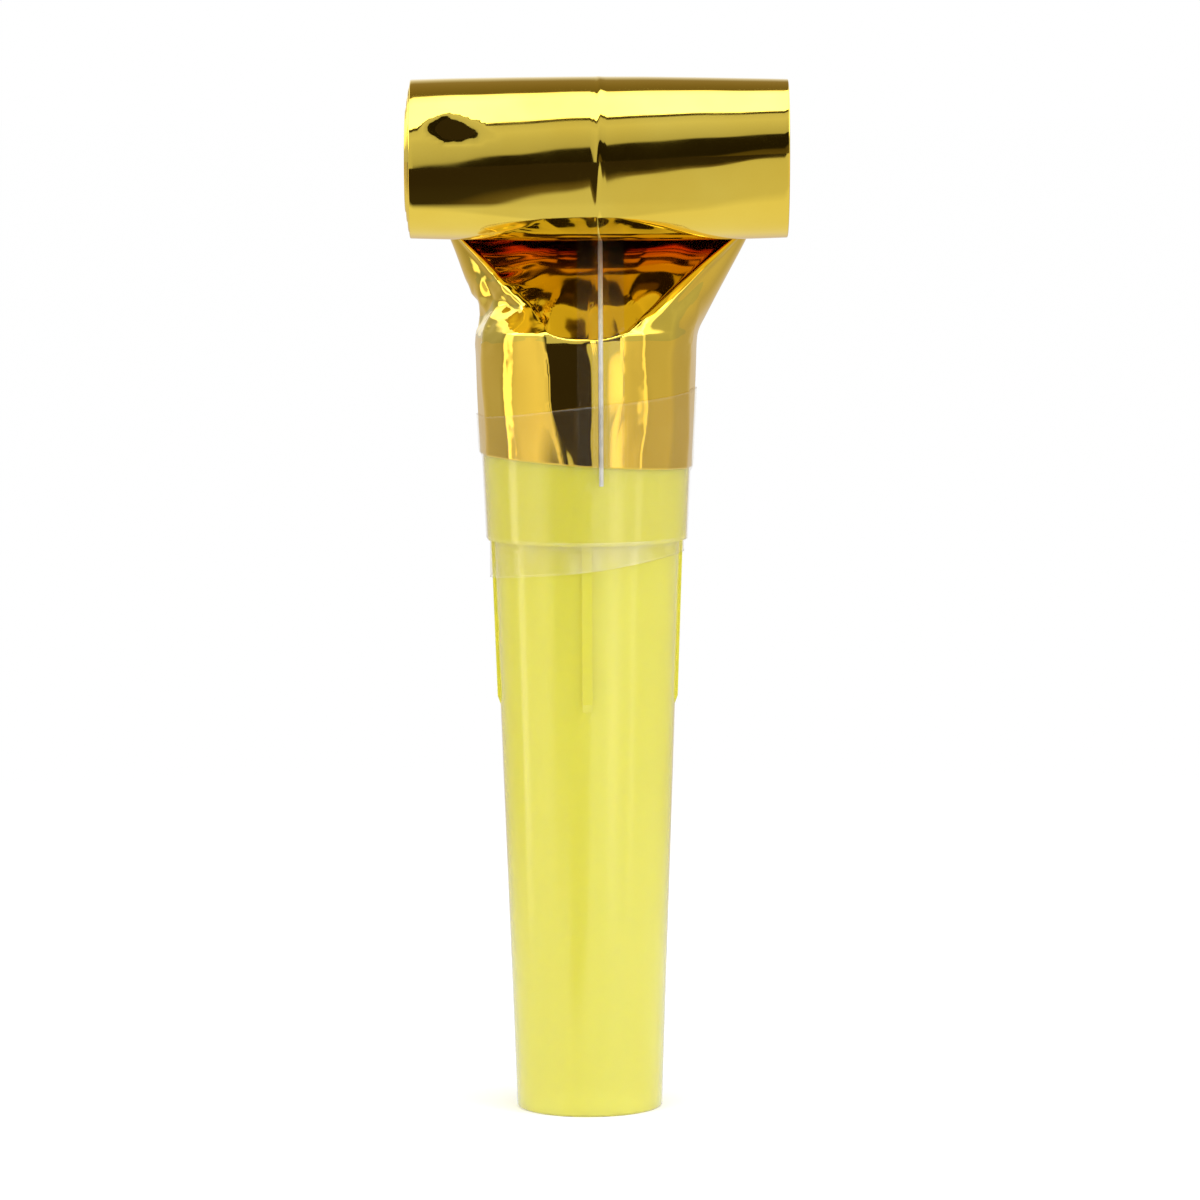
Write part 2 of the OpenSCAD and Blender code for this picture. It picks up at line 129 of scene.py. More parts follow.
def ring_faces(rows, count, end_cap=False):
    """Faces between rows of closed rings with count points each, and over the last if end_cap."""
    faces = []
    for low in range(0, (rows - 1) * count, count):
        for i in range(count):
            j = (i + 1) % count
            faces.append((low + i, low + j, low + count + j, low + count + i))
    if end_cap:
        faces.append(tuple(range((rows - 1) * count, rows * count)))
    return faces


def flipped(faces):
    return [face[::-1] for face in faces]


# ---------------------------------------------------------------- materials


def new_material(name):
    material = bpy.data.materials.new(name)
    material.use_nodes = True
    nodes, links = material.node_tree.nodes, material.node_tree.links
    return material, nodes, links, nodes["Principled BSDF"]


def feed(links, value, socket):
    """Gives a socket a number or another node's output."""
    if not isinstance(value, (int, float)):
        links.new(value, socket)
    elif socket.type == "RGBA":
        socket.default_value = (value,) * 3 + (1,)
    else:
        socket.default_value = value


def calculator(nodes, links):
    """A function that adds one math node: its sockets take numbers or the outputs of others."""
    def calculate(operation, *values):
        node = nodes.new("ShaderNodeMath")
        node.operation = operation
        for socket, value in zip(node.inputs, values):
            feed(links, value, socket)
        return node.outputs["Value"]
    return calculate


# How softly a run eases into its upper end
EASED_END = 0.05


def eased(calculate, value, low, high):
    """0 below low, 1 above high."""
    share = calculate("DIVIDE", calculate("SUBTRACT", value, low), high - low)
    share = calculate("MINIMUM", calculate("MAXIMUM", share, 0.0), 1.0)
    return calculate("SMOOTH_MIN", share, 1.0, EASED_END)


def coordinates(nodes, links, kind):
    """The sockets that give x, y and z of the shaded point or direction."""
    place = nodes.new("ShaderNodeTexCoord")
    split = nodes.new("ShaderNodeSeparateXYZ")
    links.new(place.outputs[kind], split.inputs["Vector"])
    return [split.outputs[axis] for axis in "XYZ"]


def noise(nodes, links, scale, detail, stretch=(1, 1, 1)):
    place = nodes.new("ShaderNodeTexCoord")
    mapping = nodes.new("ShaderNodeMapping")
    mapping.inputs["Scale"].default_value = stretch
    texture = nodes.new("ShaderNodeTexNoise")
    texture.inputs["Scale"].default_value = scale
    texture.inputs["Detail"].default_value = detail
    links.new(place.outputs["Object"], mapping.inputs["Vector"])
    links.new(mapping.outputs["Vector"], texture.inputs["Vector"])
    return texture.outputs["Fac"]


def greys(*stops):
    return [(place, (level,) * 3) for place, level in stops]


def ramp(nodes, links, value, stops):
    node = nodes.new("ShaderNodeValToRGB")
    elements = node.color_ramp.elements
    while len(elements) > 1:
        elements.remove(elements[-1])
    for n, (place, colour) in enumerate(stops):
        element = elements[0] if n == 0 else elements.new(place)
        element.position = place
        element.color = (*colour, 1)
    links.new(value, node.inputs["Fac"])
    return node.outputs["Color"]


def add_bump(nodes, links, shader, height, strength, distance):
    node = nodes.new("ShaderNodeBump")
    node.inputs["Strength"].default_value = strength
    node.inputs["Distance"].default_value = distance
    links.new(height, node.inputs["Height"])
    links.new(node.outputs["Normal"], shader.inputs["Normal"])
    return node.outputs["Normal"]


def blend_colours(nodes, links, factor, a, b):
    node = nodes.new("ShaderNodeMix")
    node.data_type = "RGBA"
    for name, kind, value in (("Factor", "VALUE", factor), ("A", "RGBA", a), ("B", "RGBA", b)):
        socket = next(s for s in node.inputs if s.name == name and s.type == kind)
        feed(links, value, socket)
    return next(s for s in node.outputs if s.type == "RGBA")


def mix_shaders(nodes, links, factor, first, second):
    node = nodes.new("ShaderNodeMixShader")
    for socket, value in zip(node.inputs, (factor, first, second)):
        links.new(value, socket)
    return node.outputs["Shader"]


def gold_foil():
    material, nodes, links, shader = new_material("gold_foil")
    tint = ramp(nodes, links, noise(nodes, links, 90, 3),
                [(0.3, (0.95, 0.68, 0.075)), (0.7, (0.99, 0.74, 0.1))])
    links.new(tint, shader.inputs["Base Color"])
    shader.inputs["Metallic"].default_value = 1.0
    rough = ramp(nodes, links, noise(nodes, links, 260, 4), greys((0.3, 0.035), (0.75, 0.085)))
    links.new(rough, shader.inputs["Roughness"])
    shader.inputs["Coat Weight"].default_value = 0.3
    shader.inputs["Coat Roughness"].default_value = 0.06
    add_bump(nodes, links, shader, noise(nodes, links, 140, 2), 0.01, 0.0003)
    return material


def yellow_plastic():
    material, nodes, links, shader = new_material("yellow_plastic")
    # Paler vertical streaks in the base colour: random tone, and a painted sheen for the plastic's
    # broad vertical highlights
    tone_and_sheen_streaks = noise(nodes, links, 60, 3, (1, 1, 0.12))
    tint = ramp(nodes, links, tone_and_sheen_streaks, [(0.3, (0.93, 0.82, 0.075)), (0.7, (0.96, 0.88, 0.14))])
    links.new(tint, shader.inputs["Base Color"])
    shader.inputs["Roughness"].default_value = 0.2
    shader.inputs["IOR"].default_value = 1.46
    shader.inputs["Transmission Weight"].default_value = 0.35
    shader.inputs["Subsurface Weight"].default_value = 0.6
    shader.inputs["Subsurface Radius"].default_value = (0.004, 0.0035, 0.001)
    shader.inputs["Subsurface Scale"].default_value = 1.0
    shader.inputs["Coat Weight"].default_value = 1.0
    shader.inputs["Coat Roughness"].default_value = 0.1
    add_bump(nodes, links, shader, noise(nodes, links, 35, 2, (1, 1, 0.1)), 0.25, 0.0006)
    return material


# Share of the milky shader in tape that lies tight
TIGHT_HAZE = 0.005


def clear_tape(name, clear_above=0.0):
    """Clear tape. Below the height clear_above, in mm, it lies loose in patches and looks milky."""
    material, nodes, links, milky = new_material(name)
    milky.inputs["Base Color"].default_value = (0.95, 0.92, 0.78, 1)
    milky.inputs["Roughness"].default_value = 0.1
    clear = nodes.new("ShaderNodeBsdfTransparent")
    clear.inputs["Color"].default_value = (0.995, 0.99, 0.975, 1)
    gloss = nodes.new("ShaderNodeBsdfGlossy")
    gloss.inputs["Roughness"].default_value = 0.08
    facing = nodes.new("ShaderNodeLayerWeight")
    facing.inputs["Blend"].default_value = 0.5
    shine = ramp(nodes, links, facing.outputs["Facing"],
                 greys((0.0, 0.018), (0.6, 0.03), (0.85, 0.05), (1.0, 0.22)))
    patches = ramp(nodes, links, noise(nodes, links, 130, 2, (1, 1, 0.5)),
                   greys((0.42, 0.02), (0.6, 0.12)))
    calculate = calculator(nodes, links)
    z = coordinates(nodes, links, "Object")[2]
    loose = calculate("MULTIPLY", patches, calculate("LESS_THAN", z, clear_above * MM))
    haze = calculate("ADD", loose, TIGHT_HAZE)
    dull = mix_shaders(nodes, links, haze, clear.outputs["BSDF"], milky.outputs["BSDF"])
    surface = mix_shaders(nodes, links, shine, dull, gloss.outputs["BSDF"])
    links.new(surface, nodes["Material Output"].inputs["Surface"])
    normal = add_bump(nodes, links, milky, noise(nodes, links, 200, 3), 0.15, 0.0002)
    links.new(normal, gloss.inputs["Normal"])
    return material


def spring_wire():
    material, nodes, links, shader = new_material("spring_wire")
    tint = ramp(nodes, links, noise(nodes, links, 800, 3),
                [(0.3, (0.6, 0.61, 0.62)), (0.7, (0.74, 0.75, 0.76))])
    links.new(tint, shader.inputs["Base Color"])
    shader.inputs["Metallic"].default_value = 0.55
    shader.inputs["Roughness"].default_value = 0.4
    add_bump(nodes, links, shader, noise(nodes, links, 900, 2), 0.2, 0.0001)
    return material


def moulded(name, low, high):
    """A plain plastic whose colour varies a little, from low to high."""
    material, nodes, links, shader = new_material(name)
    tint = ramp(nodes, links, noise(nodes, links, 120, 3), [(0.3, low), (0.7, high)])
    links.new(tint, shader.inputs["Base Color"])
    shader.inputs["Roughness"].default_value = 0.4
    add_bump(nodes, links, shader, noise(nodes, links, 300, 2), 0.15, 0.0002)
    return material


foil = gold_foil()
plastic = yellow_plastic()
tape = clear_tape("clear_tape")
wide_tape = clear_tape("joint_tape", COLLAR_Z + 0.5)
# The tape's cut edges are dark brown: painted shade of the narrow gap along the tape's edge, and
# dust held by the adhesive
tape_edge_shade_and_dust = moulded("tape_edge_shade_and_dust", (0.24, 0.15, 0.04), (0.34, 0.22, 0.07))
wire = spring_wire()
ivory = moulded("ivory_plastic", (0.85, 0.72, 0.62), (0.92, 0.8, 0.7))
leaf = moulded("tongue_film", (0.86, 0.84, 0.78), (0.93, 0.92, 0.88))

for material, names in ((plastic, ["mouthpiece"]), (ivory, ["reed_body", "reed_collar"]),
                        (leaf, ["reed_tongue"]), (tape, ["wire_tape"]), (wire, ["neck_wire"]),
                        (foil, ["tip_seal"])):
    for name in names:
        mesh = frame["nodes"][name].data
        mesh.materials.clear()
        mesh.materials.append(material)

# ---------------------------------------------------------------- foil roll


def turned(i):
    """Angle of the roll at hinge i, from the outer end, where the film leaves the neck."""
    u = i / LINKS
    return 2 * math.pi * TURNS * u * (1 - TURN_GROWTH + TURN_GROWTH * u)


def link_r(i):
    """Radius of the arc of stretch i."""
    return ROLL_R - TURN_PITCH * (turned(i) + turned(i + 1)) / 2 / (2 * math.pi)


def around(a):
    """Unit vector at angle a, along y and z."""
    return np.stack([np.cos(a), np.sin(a)], axis=-1)


# Each arc is tangent to the next
link_centres = [np.array([STRIP_Y - link_r(0), STRIP_Z])]
for i in range(1, LINKS):
    step = (link_r(i - 1) - link_r(i)) * around(turned(i))
    link_centres.append(link_centres[-1] + step)


def spine(t):
    """Centre, radius and angle of the roll at t, counted in stretches from the first hinge."""
    i = min(int(t), LINKS - 1)
    a = turned(i) + (t - i) * (turned(i + 1) - turned(i))
    return link_centres[i], link_r(i), a


# The dent in the outer turn: its depth, middle and half size, in mm along x and radians round the
# roll, and the way that its flattened floor faces
DENT_DEPTH = 0.25
DENT_X, DENT_A = -18.9, 2.7
DENT_LEFT, DENT_RIGHT, DENT_HALF_A = 2.9, 5.0, 0.21
DENT_FACES = np.array([0, -1, -0.12])
# How pointed its ends are, how much its right part leans, its uneven outline, and its soft edge
DENT_POINT = 1.15
DENT_LEAN = 0.02
DENT_UNEVEN, DENT_UNEVEN_RATE = 0.04, 3
DENT_EDGE = (0.3, 1.35)


def dented(a, x):
    """1 on the dent's floor, 0 outside it."""
    off_x = np.abs(x - DENT_X)
    reach = np.where(x < DENT_X, DENT_LEFT, DENT_RIGHT)
    off_a = a - DENT_A - DENT_LEAN * off_x * (x > DENT_X)
    off = (off_x / reach) ** DENT_POINT + (off_a / DENT_HALF_A) ** 2
    return 1 - smooth(off + DENT_UNEVEN * np.sin(DENT_UNEVEN_RATE * x), *DENT_EDGE)


# Angles between which the outer turn's relief comes in, and between which it goes out
RELIEF_IN = (0.15, 0.9)
RELIEF_OUT = (5.6, 6.9)
# How far the ends fall away, in mm
BARREL = -0.4
# Height in mm, waves to a turn and phase of the film's twists, which grow from the middle out
TWISTS = ((-0.32, 2, 0), (-0.1, 3, 0.6))
# Height, width and place of the line where the wire shows through, in mm, and how it wanders
WIRE_LINE, WIRE_LINE_WIDTH, WIRE_LINE_X = 0.03, 0.35, -0.1
WIRE_SWAY, WIRE_SWAY_RATE = 0.12, 2.2
WIRE_FADE, WIRE_FADE_RATE = 0.3, 3
# Height of the seam's overlap and where its two edges lie, in mm
SEAM_LINE = 0.006
SEAM_LEFT, SEAM_RIGHT = (-1.0, -0.7), (0.55, 0.85)
# Height in mm, waves along x and waves round the roll of slanted ripples
RIPPLES = ((0.008, 0.31, -3.4), (0.003, 0.75, 2.3))
# The same for crossed ripples, as height and as rate and phase each way
CROSSED, CROSSED_X, CROSSED_A = 0.012, (0.42, 1.3), (2.0, 0.4)


def roll_relief(a, x):
    """How far the outer turn's film stands off its arc, in mm, at angle a and distance x from the
    roll's middle: seam and wire show through, the ends fall away, and the film is dented."""
    across = x / HALF_W
    shown = smooth(a, *RELIEF_IN) * (1 - smooth(a, *RELIEF_OUT))
    front = a - math.pi
    barrel = BARREL * across**2
    twist = sum(height * across * np.sin(k * front + phase) for height, k, phase in TWISTS)
    sway = WIRE_SWAY * np.sin(WIRE_SWAY_RATE * a)
    wire_line = WIRE_LINE * bump(x - WIRE_LINE_X + sway, WIRE_LINE_WIDTH)
    wire_line = wire_line * (1 - WIRE_FADE * np.sin(WIRE_FADE_RATE * a))
    seam = SEAM_LINE * (smooth(x, *SEAM_LEFT) - smooth(x, *SEAM_RIGHT))
    dent = -DENT_DEPTH * dented(a, x)
    ripple = CROSSED * np.sin(CROSSED_X[0] * x + CROSSED_X[1])
    ripple = ripple * np.sin(CROSSED_A[0] * a + CROSSED_A[1])
    for height, along, round_it in RIPPLES:
        ripple = ripple + height * np.sin(along * x + round_it * a)
    return shown * (barrel + twist + wire_line + seam + dent + ripple)


# Points across the flat tube's outer face, on each side of the seam and over it, across its inner
# face, and round each of its edges
SIDE_POINTS, SEAM_POINTS, INNER_POINTS, EDGE_POINTS = 44, 26, 40, 5
SIDES_FROM, SEAM_REACH = 2, 1.9


def tube_across():
    """Places round the flat tube's section: x, and depth below the outer face."""
    half_t = STRIP_T / 2
    end = HALF_W - half_t
    edge = np.linspace(0, math.pi, EDGE_POINTS + 2)[1:-1]
    outer_x = np.concatenate([np.linspace(-end, -SIDES_FROM, SIDE_POINTS),
                              np.linspace(-SEAM_REACH, SEAM_REACH, SEAM_POINTS),
                              np.linspace(SIDES_FROM, end, SIDE_POINTS)])
    inner_x = np.linspace(end, -end, INNER_POINTS)
    x = np.concatenate([outer_x, outer_x[-1] + half_t * np.sin(edge),
                        inner_x, outer_x[0] - half_t * np.sin(edge)])
    depth = np.concatenate([outer_x * 0, half_t - half_t * np.cos(edge),
                            inner_x * 0 + STRIP_T, half_t + half_t * np.cos(edge)])
    return x, depth


def roll_point(t, x, depth):
    """Points of the roll at t, at x along it and at a depth below its outer face."""
    centre, r, a = spine(t)
    shift = ROLL_SHIFT - TURN_CREEP * a / (2 * math.pi)
    radius = r - depth + roll_relief(a, x)
    yz = centre + radius[..., None] * around(a)
    return np.stack([x + shift, yz[..., 0], yz[..., 1]], axis=-1)


NORMAL_STEP = 0.01


def roll_normals(t, x, depth):
    """Normals of the roll's surface from its neighbours along and round it."""
    along = roll_point(t + NORMAL_STEP, x, depth) - roll_point(t - NORMAL_STEP, x, depth)
    here = roll_point(t, x, depth)
    round_it = np.roll(here, -1, axis=0) - np.roll(here, 1, axis=0)
    n = np.cross(along, round_it)
    n = n / np.linalg.norm(n, axis=-1, keepdims=True)
    flat = (dented(spine(t)[2], x) * (depth == 0))[..., None]
    n = mix(n, DENT_FACES, flat)
    return n / np.linalg.norm(n, axis=-1, keepdims=True)


ROWS_PER_STRETCH = 18
LEAST_ROWS = 4
WIRE_R = 0.3
WIRE_SIDES = 12
# From the film's inner face to the wire's middle
WIRE_OFF_FILM = 0.35
WIRE_DEPTH = STRIP_T + WIRE_OFF_FILM
# The wire stops before the fold that closes the tube's end, by this share of a stretch
WIRE_SHORT = 0.59
WIRE_END = LINKS - WIRE_SHORT


def rows_between(start, end):
    rows = round(ROWS_PER_STRETCH * (end - start)) + 1
    return np.linspace(start, end, max(LEAST_ROWS, rows))


def roll_piece(name, start, end, node):
    """A length of the roll's film, from start to end, counted in stretches."""
    x, depth = tube_across()
    places = rows_between(start, end)
    last_normals = LINKS - 2 * NORMAL_STEP
    points = [roll_point(t, x, depth) for t in places]
    normals = [roll_normals(min(t, last_normals), x, depth) for t in places]
    faces = flipped(ring_faces(len(places), len(x), end_cap=end >= LINKS))
    obj = mesh_object(name, points, faces, foil, normals)
    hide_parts(node)
    return obj


def wire_piece(name, start, end, node):
    """A length of the curl wire, on the inner side of the roll."""
    places = rows_between(start, end)
    angles = np.linspace(0, 2 * math.pi, WIRE_SIDES, endpoint=False)
    rings = []
    for t in places:
        middle_line = roll_point(t, np.zeros(WIRE_SIDES), np.full(WIRE_SIDES, WIRE_DEPTH))
        outward = np.array([0, *around(spine(t)[2])])
        offsets = np.outer(np.sin(angles), (1, 0, 0)) + np.outer(np.cos(angles), outward)
        rings.append(middle_line + WIRE_R * offsets)
    faces = flipped(ring_faces(len(places), WIRE_SIDES, end_cap=end == WIRE_END))
    obj = mesh_object(name, rings, faces, wire)
    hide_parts(node)
    return obj


def body(n):
    return "base" if n == 0 else f"turn_{n:02d}"


# Each piece runs over one hinge, from the middle of one stretch to the middle of the next
for n in range(LINKS):
    start, end = max(0, n - 0.5), n + 0.5
    film = roll_piece(f"foil_bend_{n + 1:02d}", start, end, f"foil_{n + 1:02d}")
    strand = wire_piece(f"wire_bend_{n + 1:02d}", start, min(end, WIRE_END), f"wire_{n + 1:02d}")
    for piece in (film, strand):
        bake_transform(piece)
tip = roll_piece("foil_tip", LINKS - 0.5, LINKS, f"foil_{LINKS:02d}")
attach(tip, body(LINKS))

# ---------------------------------------------------------------- neck


def rise(z):
    """0 at the neck's foot, 1 where the flat tube starts."""
    return np.clip((z - NECK_Z) / (STRIP_Z - NECK_Z), 0, 1)


def collar_r(z):
    return COLLAR_LOW_R + (COLLAR_TOP_R - COLLAR_LOW_R) * (z - COLLAR_Z) / (MOUTHPIECE_H - COLLAR_Z)


def sleeve_r(z):
    return collar_r(min(z, MOUTHPIECE_H)) + SLEEVE_GAP + FILM_T


# The front film leans from the collar's rim to an arc just clear of the roll's underside and back
RAMP_R = ROLL_R + RAMP_GAP
RAMP_C = np.array([STRIP_Y - STRIP_T - RAMP_R, STRIP_Z])
RAMP_FOOT = np.array([-SLEEVE_R0, MOUTHPIECE_H + SLEEVE_GAP])
foot_to_c = RAMP_FOOT - RAMP_C
ramp_end_a = (math.atan2(foot_to_c[1], foot_to_c[0])
              + math.acos(RAMP_R / np.linalg.norm(foot_to_c)))
RAMP_END = RAMP_C + RAMP_R * around(ramp_end_a)
RAMP_SLOPE = (RAMP_END[0] - RAMP_FOOT[0]) / (RAMP_END[1] - RAMP_FOOT[1])


def ramp_y(z):
    if z < RAMP_FOOT[1]:
        return -sleeve_r(z)
    if z < RAMP_END[1]:
        return RAMP_FOOT[0] + RAMP_SLOPE * (z - RAMP_FOOT[1])
    return RAMP_C[0] + math.sqrt(max(0, RAMP_R**2 - (z - RAMP_C[1]) ** 2))


# Points of a ring over its front, each side and its back
FRONT_STEPS = 120
SIDE_STEPS = 60
BACK_STEPS = 30
# Rings of the neck in all, and those of the sleeve
NECK_ROWS = 200
SLEEVE_ROWS = 60
# How far up and down the sides are evened out, in mm, in how many steps, and where a side begins,
# as a share of the sleeve's radius
EASE_REACH = 3.2
EASE_STEPS = 9
EASED_SIDE = (0.5, 0.85)


def neck_ring(z):
    """One ring of the neck's film, from the left ridge over the front, right side and back."""
    u = rise(z)
    side_x = ROLL_SHIFT * (1 - (1 - u) ** 3)
    side_y = (STRIP_Y - STRIP_T / 2) * (1 - (1 - u) ** BACK_EASE)
    half = mix(sleeve_r(z), HALF_W, u**SIDE_EASE)
    depth = mix(FLAT_DEPTH_SHARE * HALF_W, sleeve_r(z), (1 - u) ** DEPTH_EASE)
    flat_front = ramp_y(z)
    flat_back = mix(STRIP_Y, sleeve_r(z), (1 - u) ** BACK_EASE)

    def ridge(reach):
        return np.clip(math.acos(np.clip(reach / depth, -1, 1)), RIDGE_LEAST, RIDGE_MOST)

    front_a, back_a = ridge(side_y - flat_front), ridge(flat_back - side_y)
    a = np.concatenate([
        np.linspace(-front_a, front_a, FRONT_STEPS, endpoint=False),
        np.linspace(front_a, math.pi - back_a, SIDE_STEPS, endpoint=False),
        np.linspace(math.pi - back_a, math.pi + back_a, BACK_STEPS, endpoint=False),
        np.linspace(math.pi + back_a, 2 * math.pi - front_a, SIDE_STEPS, endpoint=False)])
    pocket = POCKET_DEPTH * math.sin(math.pi * min(1, u / POCKET_REACH_SHARE)) ** 2
    left = np.where(np.sin(a) < 0, pocket, 0)
    x = side_x + (half - left) * np.sin(a)
    y = np.clip(side_y - depth * np.cos(a), flat_front, flat_back)
    return np.stack([x, y, np.full_like(x, z)], axis=-1)


def rounded_ring(z):
    """The ring at z, with its sides eased between the sleeve and the flare."""
    ring = neck_ring(z)
    reach = np.linspace(-EASE_REACH, EASE_REACH, EASE_STEPS)
    share = np.cos(reach / EASE_REACH * math.pi / 2) ** 2
    nearby = [neck_ring(min(max(z + d, SLEEVE_LOW_Z), STRIP_Z)) for d in reach]
    even = sum(w * r for w, r in zip(share, nearby)) / share.sum()
    at_side = smooth(np.abs(ring[:, 0] - ROLL_SHIFT * rise(z)) / SLEEVE_R0, *EASED_SIDE)
    at_side = at_side * (1 - smooth(z, STRIP_Z - 2 * EASE_REACH, STRIP_Z - EASE_REACH))
    ring[:, :2] += at_side[:, None] * (even - ring)[:, :2]
    return ring


def neck_grid():
    """The neck's rings, with those of the sleeve lower on the right than on the left."""
    foot_z = RAMP_FOOT[1]
    places = np.concatenate([np.linspace(SLEEVE_LOW_Z, foot_z, SLEEVE_ROWS, endpoint=False),
                             np.linspace(foot_z, STRIP_Z, NECK_ROWS - SLEEVE_ROWS)])
    rings = []
    for z in places:
        ring = rounded_ring(z)
        lean = max(0.0, (foot_z - z) / (foot_z - SLEEVE_LOW_Z))
        if lean:
            level = z - lean * SLEEVE_SKEW * ring[:, 0] / SLEEVE_R0 / 2
            wider = np.array([sleeve_r(v) for v in level]) / sleeve_r(z)
            ring[:, 0] *= wider
            ring[:, 1] *= wider
            ring[:, 2] = level
        rings.append(ring)
    return np.stack(rings)


def grid_surface_normals(grid):
    up = np.gradient(grid, axis=0)
    round_it = np.roll(grid, -1, axis=1) - np.roll(grid, 1, axis=1)
    n = np.cross(round_it, up)
    return n / np.maximum(np.linalg.norm(n, axis=-1, keepdims=True), 1e-9)


# Random heights of the crumples' corners, how much narrower the crumples are one way, and where
# the pattern starts
CRUMPLE_COUNT = 64
CRUMPLE_HEIGHTS = np.random.default_rng(7).uniform(-1, 1, (CRUMPLE_COUNT, CRUMPLE_COUNT))
CRUMPLE_NARROW = 1.15
CRUMPLE_START = (31.7, 29.3)


def crumple(u, v, cell, turn):
    """Crumpled film: flat triangles between points of random height, from -1 to 1."""
    p = (u * math.cos(turn) + v * math.sin(turn)) / cell + CRUMPLE_START[0]
    q = (v * math.cos(turn) - u * math.sin(turn)) / cell * CRUMPLE_NARROW + CRUMPLE_START[1]
    i, j = np.floor(p).astype(int), np.floor(q).astype(int)
    fp, fq = p - i, q - j

    def height(di, dj):
        return CRUMPLE_HEIGHTS[(i + di) % CRUMPLE_COUNT, (j + dj) % CRUMPLE_COUNT]

    low = height(0, 0) + fp * (height(1, 0) - height(0, 0)) + fq * (height(0, 1) - height(0, 0))
    high = (height(1, 1) + (1 - fp) * (height(0, 1) - height(1, 1))
            + (1 - fq) * (height(1, 0) - height(1, 1)))
    return np.where(fp + fq < 1, low, high)


# Directions of the sleeve's creases, in degrees from the front towards the right. The film lies
# flat from one to the next
SLEEVE_CREASES = np.radians([-178, -152, -121, -94, -68, -46, -43, -24, 6,
                             22, 29, 32, 52, 70, 93, 118, 149, 182])
# Share of a true flat facet's relief, half the middle of a facet, and the spread that rounds a
# crease, in radians
SLEEVE_PROUD = 0.95
FACET_MIDDLE = 0.012
CREASE_ROUND = np.linspace(-0.035, 0.035, 5)
# How far the creases wander, and how fast over the height and round the sleeve
CREASE_WANDER, WANDER_UP, WANDER_ROUND = 0.035, 0.42, 2.7
# Towards the foot, the creases beside the wire run together: how far, where and how widely
RUN_TOGETHER = ((0.13, 0.3, 0.16), (-0.2, -0.25, 0.26))


def sleeve_relief(direction, z):
    """The relief of the sleeve's creases, with each crease a little rounded."""
    return sum(sharp_relief(direction + d, z) for d in CREASE_ROUND) / len(CREASE_ROUND)


def sharp_relief(direction, z):
    """How much further out the film lies over a crease than between two, as a share of radius."""
    foot = 1 - smooth(z, SLEEVE_LOW_Z, MOUTHPIECE_H)
    wander = CREASE_WANDER * np.sin(WANDER_UP * (z - SLEEVE_LOW_Z) + WANDER_ROUND * direction)
    wander = wander * np.cos(direction / 2)
    together = sum(far * bump(direction - at, wide) for far, at, wide in RUN_TOGETHER)
    direction = direction + wander + foot * together
    right = np.searchsorted(SLEEVE_CREASES, direction).clip(1, len(SLEEVE_CREASES) - 1)
    low, high = SLEEVE_CREASES[right - 1], SLEEVE_CREASES[right]
    off = np.abs(direction - (low + high) / 2) - FACET_MIDDLE
    half = (high - low) / 2
    return SLEEVE_PROUD * (1 / np.cos(np.clip(off, 0, half)) - 1)


# The relief stays low over the wire: by what share, and how widely in mm
OVER_WIRE, OVER_WIRE_WIDTH = 0.92, 2.0
# Shares of the neck's height over which all relief fades, and the sleeve's creases and the folds
STRIP_FADE = (0.72, 0.95)
SLEEVE_FADE = (0.0, 0.3)
FOLD_FADE = (0.55, 0.8)
# Heights above the neck's foot, in mm, between which pleats, folds and crumples come in
PLEATS_IN = (-1.0, 3.0)
FOLDS_IN = (-0.5, 2.5)
CRUMPLES_IN = (-3, 1.5)
# The front film lies before a line that moves back as the neck rises and reaches y = 0 at the rise
# FRONT_FROM, or before FRONT_Y
FRONT_SLOPE, FRONT_FROM, FRONT_Y = 0.6, 0.35, -3
# Pleats of the front film: direction in degrees, height in mm and width. They fan out from a point
# under the collar's rim
PLEATS = ((-30, -0.1, 5.0), (-16, 0.05, 6.0), (17, 0.06, 5.0), (30, -0.1, 5.0))
FAN_FOOT = (1.5, 92.0)
# Folds at both edges of the front film: height in mm, and width and place in points of a ring
FOLD_HEIGHT = 0.4
FOLD_WIDTH = 3.2
FOLD_PLACE = 3
# Crumpled zones: height in mm, and middle and half size along x and z
CRUMPLED = ((0.5, -12.0, 4.5, 105.0, 4.4), (0.05, 14.5, 3.5, 105.5, 6.0))
CRUMPLED_Y = 4
# Crumples elsewhere, in mm: on the neck, along its foot and everywhere. Those along the foot have
# their middle and half size here too
NECK_CRUMPLE, FOOT_CRUMPLE, LEAST_CRUMPLE = 0.001, 0.05, 0.004
FOOT_MIDDLE, FOOT_HALF = 0.7, 1.0
# Size in mm and turn of the coarse crumples and of the fine ones, and the share of the fine ones
COARSE, FINE, FINE_SHARE = (3.4, 0.6), (1.7, 1.1), 0.4
# Bulge of the front film over the collar's rim: height, middle above the neck's foot and half size
# in mm, and the y up to which it goes
RIM_BULGE, RIM_MIDDLE, RIM_HALF, RIM_Y = 0.2, -1.0, 1.5, -5


def above_foot(z, low, high):
    """0 below low, 1 above high, both in mm above the neck's foot."""
    return smooth(z, NECK_Z + low, NECK_Z + high)


